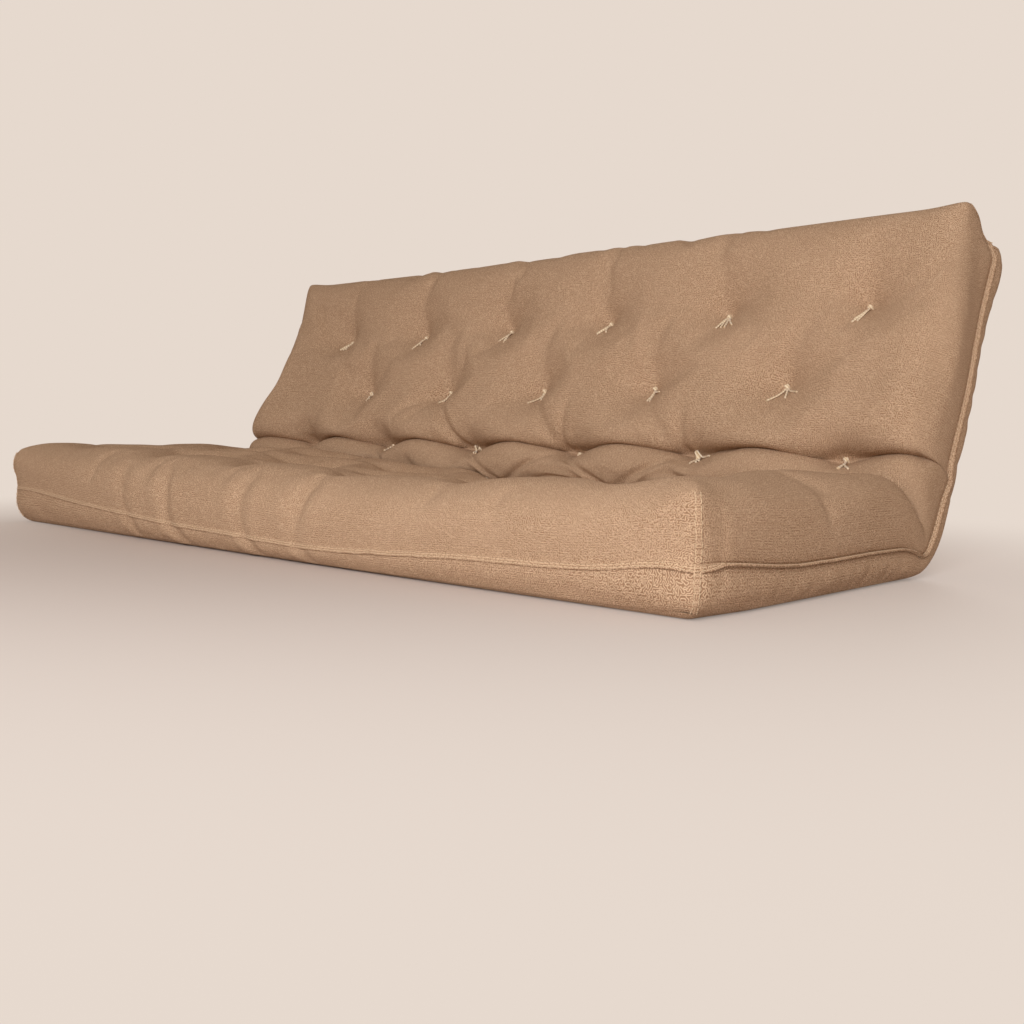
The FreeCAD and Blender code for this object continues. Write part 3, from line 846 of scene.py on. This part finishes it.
# The face panel's sides are joined at each corner by a short upright seam, pressed flat, from just
# under the top of the roll to the underside. At the front it's stitched down on both sides too.
face_surface = BVHTree.FromObject(face_panel, bpy.context.evaluated_depsgraph_get())
base_surface = BVHTree.FromObject(base_panel, bpy.context.evaluated_depsgraph_get())


def on_surface(surface, place, lift):
    near, facing, _, _ = surface.find_nearest(place)
    return near + facing * lift


WELT_WIDTH = 0.006
WELT_THICKNESS = 0.003
corner_runs = []
for side in (-1, 1):
    for end in (0, LENGTH):
        column = [i for i, p in enumerate(flat)
                  if abs(p.x - side * WIDTH / 2) < 1e-5 and abs(p.y - end) < 1e-5 and p.z < THICKNESS - 0.008]
        column.sort(key=lambda i: -flat[i].z)
        ways = [{i: way for i in column} for way in (up_back * -1 if end else Vector((0, 1, 0)), Vector((-side, 0, 0)))]
        bm = strip(column, ways, WELT_WIDTH)
        which = bm.verts.layers.int["which"]
        for vert in bm.verts:
            surface = face_surface if flat[vert[which]].z > SEAM_HEIGHT else base_surface
            vert.co = on_surface(surface, vert.co, 0.0010)
        welt = add_object("corner_seam_%s_%s" % ("left" if side < 0 else "right", "top" if end else "front"), bm)
        thicken(welt, WELT_THICKNESS)
        smooth_finish(welt)
        welt.data.materials.append(woven_cotton)
        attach(welt, "back" if end else "seat")
        for way in [] if end else ways:
            points, lifts = [], []
            for i in column:
                surface = face_surface if flat[i].z > SEAM_HEIGHT else base_surface
                place = on_surface(surface, skin[i] + way[i] * WELT_WIDTH * 0.75, 0)
                lifts.append(surface.find_nearest(place)[1])
                points.append(place + lifts[-1] * (WELT_THICKNESS / 2 + 0.0008))
            corner_runs += stitches_along(points, lifts)
corner_stitches = cords("corner_stitches", corner_runs, STITCH_RADIUS, sides=1)
corner_stitches.data.materials.append(spun_thread)
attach(corner_stitches, "seat")


# ---- Ties ---------------------------------------------------------------------------------------
# Each tie is a length of cotton twine through the whole mattress: a short bar on the base, two legs,
# a small knot drawn down into the face, and its cut ends, which lie on the cloth.
TWINE_RADIUS = 0.0018
tie_runs = {"seat": [], "back": []}
hand = random.Random(7)
for (tuft_x, tuft_v), knot in zip(tufts, knots):
    runs = tie_runs["seat" if tuft_v < SEAT_DEPTH else "back"]
    centre = skin[knot]
    facing = face_surface.find_nearest(centre)[1]
    place, along, outward = to_fold(*flat[knot])
    if tuft_v > crease_row + 0.01 or tuft_v < fold_row - 0.01:
        facing = outward
    along = (along - facing * along.dot(facing)).normalized()
    aside = Vector((1, 0, 0))
    aside = (aside - facing * aside.dot(facing)).normalized()
    centre = on_surface(face_surface, centre, TWINE_RADIUS)
    below = to_fold(flat[knot].x, flat[knot].y, 0)[0]
    below = on_surface(base_surface, below + Vector((0, 0, 0.004)), TWINE_RADIUS * 0.6)
    for offset in (-0.003, 0.003):
        runs.append([below + aside * offset, below.lerp(centre, 0.5) + aside * offset, centre + aside * offset])
    runs.append([below - aside * 0.0035, below, below + aside * 0.0035])
    runs.append([centre - aside * 0.004 - facing * 0.002, centre - aside * 0.002 + facing * 0.0018,
                 centre + aside * 0.002 + facing * 0.0018, centre + aside * 0.004 - facing * 0.002])
    knot_centre = centre + facing * 0.0035 + along * 0.001
    for tilt in (0.0, 1.3):
        loop = []
        for step in range(8):
            turn = step * 2 * math.pi / 6 + tilt
            ringed = aside * math.cos(tilt) + along * math.sin(tilt)
            spread = 0.0040 + 0.0005 * math.sin(step * 2.1)
            loop.append(knot_centre + ringed * spread * math.cos(turn) + facing * spread * math.sin(turn)
                        + (along * math.cos(tilt) - aside * math.sin(tilt)) * 0.0006 * (step - 4))
        runs.append(loop)
    for strand in range(hand.choice((2, 3, 3, 4))):
        angle = math.radians(292 + hand.uniform(-18, 18))
        length = hand.uniform(0.036, 0.054)
        bend = hand.uniform(-0.5, 0.5)
        path = [knot_centre]
        for share in (0.15, 0.4, 0.7, 1.0):
            turn = angle + bend * share
            guess = centre + (aside * math.cos(turn) + along * math.sin(turn)) * length * share + facing * 0.004
            met, met_facing, _, _ = face_surface.ray_cast(guess + facing * 0.04, -facing)
            if not met:
                met, met_facing, _, _ = face_surface.find_nearest(guess)
            path.append(met + met_facing * TWINE_RADIUS * (1.0 + 0.8 * (strand % 3) * (1 - share)))
        runs.append(path)

# Four-ply cotton twine: unbleached cream, matt and slightly hairy, with plies that wind round it
# every 5 mm, and painted shade darkening the grooves between them.
cotton_twine, tree, shader = new_material(
    "four_ply_cotton_twine", Roughness=0.8, Sheen_Weight=0.3, Sheen_Roughness=0.5, Specular_IOR_Level=0.2)
place = add_node(tree, "ShaderNodeTexCoord").outputs["Object"]
plies = add_node(tree, "ShaderNodeTexWave", {
    "Vector": place, "Scale": 1 / (0.0025 * 20) * math.pi, "Distortion": 1.5}, bands_direction="DIAGONAL")
hairs = add_node(tree, "ShaderNodeTexNoise", {"Vector": place, "Scale": 900.0, "Detail": 2.0})
colour = add_node(tree, "ShaderNodeMix", {
    "Factor": plies.outputs["Fac"], "A": linear("#D2B995"), "B": linear("#F2E2C8")}, data_type="RGBA")
height = add_node(tree, "ShaderNodeMath", {
    0: hairs.outputs["Fac"], 1: 0.3, 2: plies.outputs["Fac"]}, operation="MULTIPLY_ADD").outputs[0]
bump = add_node(tree, "ShaderNodeBump", {"Height": height, "Strength": 0.6, "Distance": 0.0004})
tree.links.new(colour.outputs["Result"], shader.inputs["Base Color"])
tree.links.new(bump.outputs["Normal"], shader.inputs["Normal"])
for body, runs in tie_runs.items():
    ties = cords(body + "_ties", runs, TWINE_RADIUS, sides=2)
    ties.data.materials.append(cotton_twine)
    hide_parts(body + "_tuft_ties")
    fold_across(ties)

fold_across(face_panel)
fold_across(base_panel)
bpy.data.objects.remove(casing)

# ---- Studio -------------------------------------------------------------------------------------
# A plain pale floor that keeps the mattress's shadow and runs into the background further off, one
# large soft lamp low in front on the right, a weaker one behind, and even light all round.
BACKDROP = linear("#E6D9CE")
bm = bmesh.new()
bmesh.ops.create_grid(bm, x_segments=1, y_segments=1, size=20)
floor = add_object("floor", bm)
floor_paint, tree, shader = new_material("matt_emulsion_floor", Base_Color=linear("#DACFCA"), Roughness=0.95)
place = add_node(tree, "ShaderNodeTexCoord").outputs["Object"]
away = add_node(tree, "ShaderNodeVectorMath", {0: place}, operation="LENGTH").outputs["Value"]
fade = add_node(tree, "ShaderNodeMapRange", {
    "Value": away, "From Min": 0.4, "From Max": 2.0}, interpolation_type="SMOOTHSTEP").outputs[0]
seen = add_node(tree, "ShaderNodeLightPath").outputs["Is Camera Ray"]
share = add_node(tree, "ShaderNodeMath", {0: fade, 1: seen}, operation="MULTIPLY").outputs[0]
glow = add_node(tree, "ShaderNodeEmission", {"Color": BACKDROP})
mixed = add_node(tree, "ShaderNodeMixShader", {0: share, 1: shader.outputs["BSDF"], 2: glow.outputs["Emission"]})
tree.links.new(mixed.outputs[0], tree.nodes["Material Output"].inputs["Surface"])
floor.data.materials.append(floor_paint)

world = bpy.context.scene.world or bpy.data.worlds.new("studio")
bpy.context.scene.world = world
world.use_nodes = True
tree = world.node_tree
around = tree.nodes["Background"]
around.inputs["Color"].default_value = linear("#FFE8D3")
around.inputs["Strength"].default_value = 0.36
behind = add_node(tree, "ShaderNodeBackground", {"Color": BACKDROP})
seen = add_node(tree, "ShaderNodeLightPath").outputs["Is Camera Ray"]
mixed = add_node(tree, "ShaderNodeMixShader", {0: seen, 1: around.outputs[0], 2: behind.outputs[0]})
tree.links.new(mixed.outputs[0], tree.nodes["World Output"].inputs["Surface"])


def softbox(name, place, target, size, power):
    lamp = bpy.data.lights.new(name, "AREA")
    lamp.shape = "SQUARE"
    lamp.size = size
    lamp.energy = power
    holder = bpy.data.objects.new(name, lamp)
    bpy.context.scene.collection.objects.link(holder)
    holder.location = place
    holder.rotation_euler = (Vector(target) - Vector(place)).to_track_quat("-Z", "Y").to_euler()


softbox("key", (2.2, -3.2, 1.4), (0.1, 0.2, 0.2), 1.6, 124)
softbox("back_fill", (-0.8, 3.8, 1.2), (0, 0.5, 0.3), 1.6, 70)

CAMERA_PLACE = Vector((1.6713, -1.4718, 0.2240))
TURN, DIP, ROLL = math.radians(42.614), math.radians(3.985), math.radians(1.020)
camera = bpy.data.cameras.new("camera")
camera.lens = 38.474
camera.sensor_width = 36
camera_holder = bpy.data.objects.new("camera", camera)
bpy.context.scene.collection.objects.link(camera_holder)
ahead = Vector((-math.sin(TURN) * math.cos(DIP), math.cos(TURN) * math.cos(DIP), -math.sin(DIP)))
right = Vector((math.cos(TURN), math.sin(TURN), 0))
up = right.cross(ahead)
rolled_right = right * math.cos(ROLL) + up * math.sin(ROLL)
rolled_up = up * math.cos(ROLL) - right * math.sin(ROLL)
aim = Matrix((rolled_right, rolled_up, -ahead)).transposed()
camera_holder.matrix_world = Matrix.Translation(CAMERA_PLACE) @ aim.to_4x4()
bpy.context.scene.camera = camera_holder
bpy.context.scene.view_settings.view_transform = "Standard"
